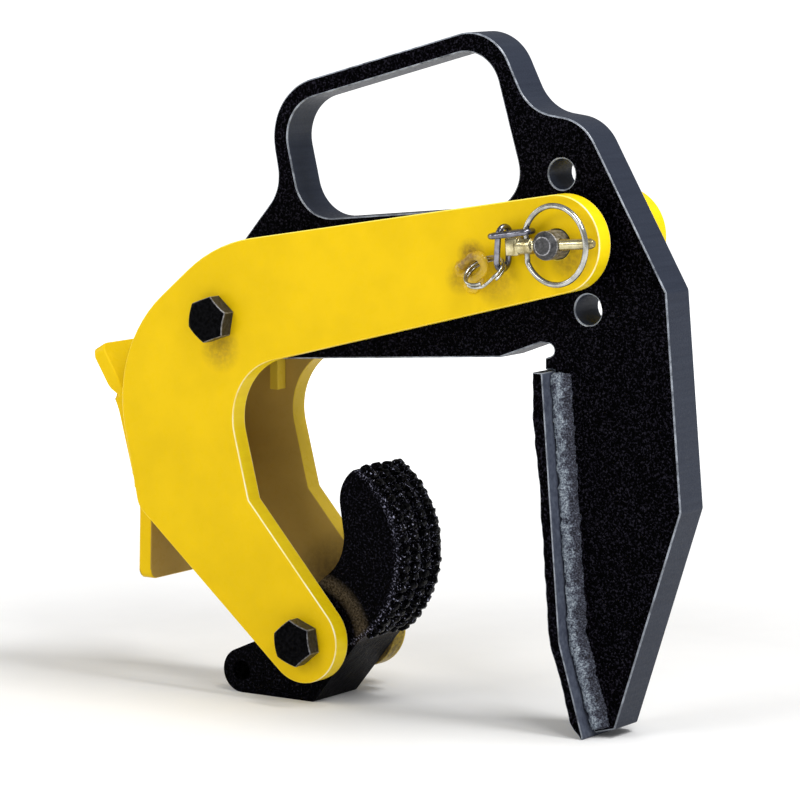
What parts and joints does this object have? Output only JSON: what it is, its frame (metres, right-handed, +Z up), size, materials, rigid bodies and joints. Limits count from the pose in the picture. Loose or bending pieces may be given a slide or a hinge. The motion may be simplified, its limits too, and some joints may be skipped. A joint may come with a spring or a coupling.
{
  "type": "plate lifting clamp",
  "caption": "Self-gripping lifting clamp: black plate with hand window and padded leg, yellow twin arms on a pivot bolt and locking pin, toothed swinging cam.",
  "frame": {"origin": "on the floor, under the centre of the bounding box", "axes": "+X from the cam side to the pad side, +Y through the plates away from the linch pin, +Z up"},
  "size_m": [0.399, 0.1152, 0.3888],
  "materials": {
    "black_paint": "semi-gloss black paint",
    "weld_bead": "painted weld bead",
    "yellow_paint": "gloss yellow paint",
    "black_oxide": "black oxide",
    "bronze": "bearing bronze, unseen",
    "bare_steel": "mottled bare steel",
    "cast_black": "black cast steel",
    "yellow_zinc": "yellow zinc plate",
    "bright_steel": "bright plated steel",
    "dark_steel": "worn plated steel"
  },
  "bodies": {
    "clamp_body": {"body_plate": "black_paint", "jaw_pad": "black_paint", "pad_weld_front": "weld_bead", "pad_weld_rear": "weld_bead", "arm_plate_front": "yellow_paint", "arm_plate_rear": "yellow_paint", "chain_guide_strap": "yellow_paint", "strap_weld_front": "yellow_paint", "strap_weld_rear": "yellow_paint", "guide_block_front": "yellow_paint", "guide_block_rear": "yellow_paint", "tether_eye": "yellow_paint", "pivot_bolt": "black_oxide", "pivot_washer": "black_oxide", "pivot_nut": "black_oxide", "pivot_bush": "bronze", "pivot_spacer_front": "bare_steel", "pivot_spacer_rear": "bare_steel", "cam_bolt": "black_oxide", "cam_washer": "black_oxide", "cam_nut": "black_oxide", "cam_thrust_washer_front": "bare_steel", "cam_thrust_washer_rear": "bare_steel", "locking_pin": "bare_steel", "linch_pin": "yellow_zinc"},
    "cam": {"cam": "cast_black", "cam_bush": "bronze"},
    "linch_ring": {"linch_ring": "bright_steel"},
    "split_ring": {"split_ring": "bright_steel"},
    "chain_link_lower": {"chain_link_lower": "dark_steel"},
    "chain_link_upper": {"chain_link_upper": "dark_steel"}
  },
  "joints": [
    {"name": "cam_swing", "type": "hinge", "parent": "clamp_body", "child": "cam", "pos_m": [-0.0382, 0, 0.0381], "axis": [0, 1, 0], "range_deg": [-25, 75]},
    {"name": "linch_ring_flip", "type": "hinge", "parent": "clamp_body", "child": "linch_ring", "pos_m": [0.11916, -0.044, 0.27491], "axis": [0.0785, 0, -0.9969], "range_deg": [0, 100]},
    {"name": "split_ring_swing", "type": "hinge", "parent": "clamp_body", "child": "split_ring", "pos_m": [0.0898, -0.0446, 0.2672], "axis": [1, 0, 0], "range_deg": [-8, 2]},
    {"name": "chain_link_lower_swing", "type": "hinge", "parent": "clamp_body", "child": "chain_link_lower", "pos_m": [0.1025, -0.0416, 0.265], "axis": [0.1902, -0.2002, 0.9611], "range_deg": [-2, 1.5]},
    {"name": "chain_link_upper_swing", "type": "hinge", "parent": "clamp_body", "child": "chain_link_upper", "pos_m": [0.1183, -0.044, 0.284], "axis": [1, 0, 0], "range_deg": [-8, 4]}
  ]
}
